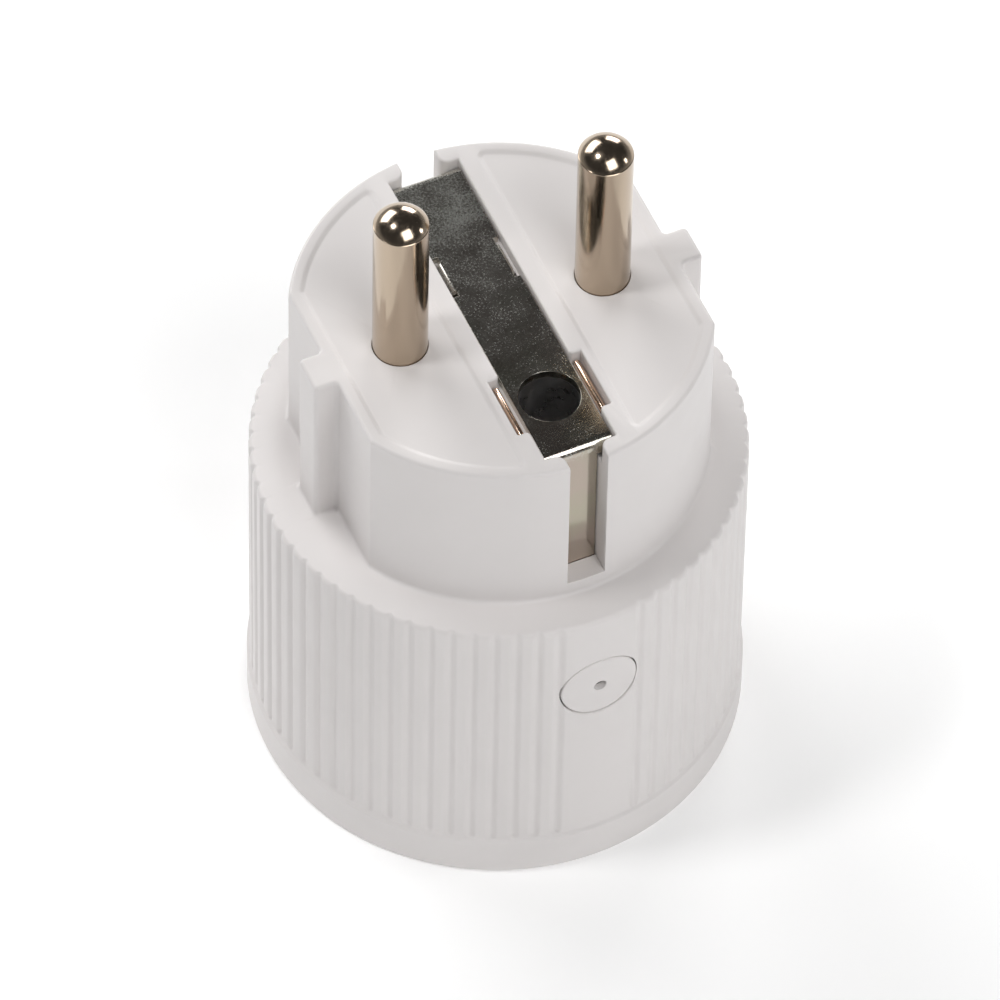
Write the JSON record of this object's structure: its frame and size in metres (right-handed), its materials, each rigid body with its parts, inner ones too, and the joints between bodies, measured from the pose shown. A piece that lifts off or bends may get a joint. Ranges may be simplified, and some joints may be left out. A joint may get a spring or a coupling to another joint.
{
  "type": "smart plug",
  "caption": "Round mains smart plug: nose with two round pins and an earth strap on a fluted sleeve, flush side button, socket recess underneath.",
  "frame": {"origin": "centre of the socket rim, the face the plug stands on with its pins up", "axes": "+Z along the plug pins, X along the line of the two pins, -Y towards the button and the earth hole"},
  "size_m": [0.044, 0.044, 0.07],
  "materials": {
    "white_shell": "fine satin moulding",
    "white_inner": "satin moulding",
    "pin_nickel": "bright nickel plate",
    "strap_nickel": "nickel plate with fine mottling",
    "bronze": "rolled spring bronze",
    "clear": "clear moulding",
    "board_green": "solder resist",
    "radio_board": "dark blue solder resist",
    "shield_steel": "tinned sheet",
    "relay_blue": "smooth moulding",
    "black_plastic": "moulded",
    "coil_copper": "enamelled wire",
    "soft_iron": "plated iron",
    "spring_steel": "drawn wire",
    "screw_steel": "zinc plate",
    "shutter_white": "slippery moulding",
    "plunger": "moulded",
    "led_white": "epoxy",
    "can_sleeve": "shrink sleeve",
    "can_blue": "shrink sleeve",
    "ferrite": "ferrite and winding",
    "varistor_blue": "dipped coat",
    "resistor_body": "cement coat",
    "lead_red": "insulated wire"
  },
  "bodies": {
    "housing": {"plug_housing": "white_shell", "line_pin": "pin_nickel", "neutral_pin": "pin_nickel", "earth_strap": "strap_nickel", "earth_pin_clip": "bronze", "socket_cup": "white_inner", "socket_earth_bracket": "bronze", "earth_rivet": "pin_nickel", "line_contact": "bronze", "neutral_contact": "bronze", "shutter_spring": "spring_steel", "main_board": "board_green", "relay_base": "black_plastic", "relay_case": "relay_blue", "relay_coil": "coil_copper", "relay_yoke": "soft_iron", "relay_fixed_contact": "bronze", "wifi_board": "radio_board", "wifi_shield": "shield_steel", "button_board": "board_green", "switch_body": "black_plastic", "status_led": "led_white", "input_capacitor": "can_sleeve", "filter_capacitor": "can_sleeve", "output_capacitor": "can_blue", "choke": "ferrite", "varistor": "varistor_blue", "fuse_resistor": "resistor_body", "bridge_rectifier": "black_plastic", "power_regulator": "black_plastic", "neutral_busbar": "bronze", "line_lead": "lead_red", "housing_screws": "screw_steel"},
    "button": {"power_button": "white_shell", "light_pipe": "clear"},
    "plunger": {"switch_plunger": "plunger"},
    "shutter": {"safety_shutter": "shutter_white"},
    "armature": {"relay_armature": "soft_iron"}
  },
  "joints": [
    {"name": "button_press", "type": "slide", "parent": "housing", "child": "button", "axis": [0, 1, 0], "range_m": [0, 0.0004], "stiffness_N_per_m": 3000, "springref_m": -0.0001},
    {"name": "switch_press", "type": "slide", "parent": "housing", "child": "plunger", "axis": [0, 1, 0], "range_m": [0, 0.0004]},
    {"name": "shutter_slide", "type": "slide", "parent": "housing", "child": "shutter", "axis": [0, 1, 0], "range_m": [0, 0.006], "stiffness_N_per_m": 120, "springref_m": -0.003, "deforming": ["shutter_spring"]},
    {"name": "armature_tilt", "type": "hinge", "parent": "housing", "child": "armature", "pos_m": [0, 0.0124, 0.0373], "axis": [1, 0, 0], "range_deg": [0, 3], "stiffness_Nm_per_rad": 0.02, "springref_deg": -2.86}
  ],
  "couplings": [
    {"joint": "switch_press", "follows": "button_press", "ratio": 1}
  ]
}
